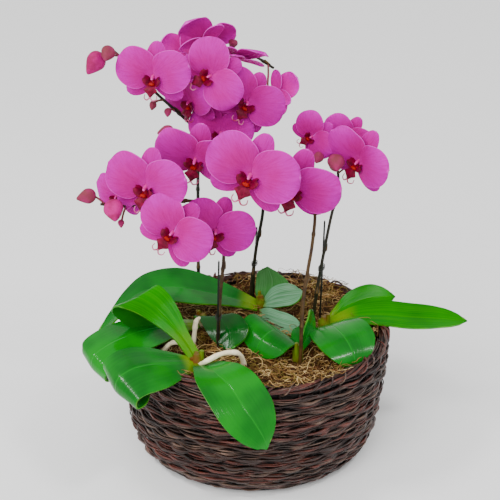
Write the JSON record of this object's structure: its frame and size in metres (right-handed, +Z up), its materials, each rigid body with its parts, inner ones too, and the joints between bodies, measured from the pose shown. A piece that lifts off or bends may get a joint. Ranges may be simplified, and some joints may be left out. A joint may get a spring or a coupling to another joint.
{
  "type": "moth orchid arrangement in a basket",
  "caption": "Moth orchids with magenta-pink blooms on arching stems above folded glossy leaves, planted in dried moss in a round woven wicker basket.",
  "frame": {"origin": "on the surface that the basket stands on, under the middle of its rim; the lower basket stands 6.5 mm to -X of it", "axes": "+Z up; the front of the arrangement, which the blooms face, is towards -Y; +X is to the right as seen from the front"},
  "size_m": [0.4353, 0.3382, 0.4914],
  "materials": {
    "wicker": "dark stained split willow, satin",
    "wicker_rim": "reddish brown twigs with bark, satin",
    "medium": "rough bark chips, matt",
    "moss": "dry curly fibre, matt",
    "stake": "dark green plastic-coated wire, satin",
    "stem": "living flower stem, semi-gloss",
    "crown": "fleshy stem and pale roots, satin",
    "leaf": "fleshy leaf, glossy",
    "leaf_pale": "fleshy leaf, waxy bloom, semi-gloss",
    "leaf_fresh": "young fleshy leaf, glossy",
    "petal": "thin translucent petal, matt velvet",
    "lip": "waxy petal, satin"
  },
  "bodies": {
    "root": {"basket_body": "wicker", "basket_rim": "wicker_rim", "bloom_high_1": "petal", "bloom_high_2": "petal", "bloom_high_3": "petal", "bloom_high_4": "petal", "bloom_low_1": "petal", "bloom_low_2": "petal", "bloom_low_3": "petal", "bloom_low_4": "petal", "bloom_middle_1": "petal", "bloom_middle_2": "petal", "bloom_middle_3": "petal", "bloom_right_1": "petal", "bloom_right_2": "petal", "bloom_right_3": "petal", "bloom_top_1": "petal", "bloom_top_2": "petal", "bloom_top_3": "petal", "bloom_top_4": "petal", "bloom_top_5": "petal", "crown_back": "crown", "crown_centre": "crown", "crown_front": "crown", "crown_left": "crown", "crown_right": "crown", "growing_medium": "medium", "leaf_back_arching": "leaf", "leaf_back_bowed": "leaf", "leaf_back_low": "leaf_pale", "leaf_back_right": "leaf_pale", "leaf_back_upright": "leaf_pale", "leaf_front_folded": "leaf", "leaf_front_hanging": "leaf", "leaf_front_rising": "leaf", "leaf_left_broad": "leaf", "leaf_left_folded": "leaf", "leaf_right_fresh": "leaf_fresh", "leaf_right_long": "leaf_pale", "leaf_right_rolled": "leaf", "lip_high_1": "lip", "lip_high_2": "lip", "lip_high_3": "lip", "lip_high_4": "lip", "lip_low_1": "lip", "lip_low_2": "lip", "lip_middle_1": "lip", "lip_middle_2": "lip", "lip_middle_3": "lip", "lip_right_1": "lip", "lip_right_2": "lip", "moss_top": "moss", "spike_back_high": "stem", "spike_centre": "stem", "spike_left_high": "stem", "spike_left_low": "stem", "spike_right": "stem", "stake_back": "stake", "stake_left": "stake", "stake_right": "stake"}
  },
  "joints": []
}
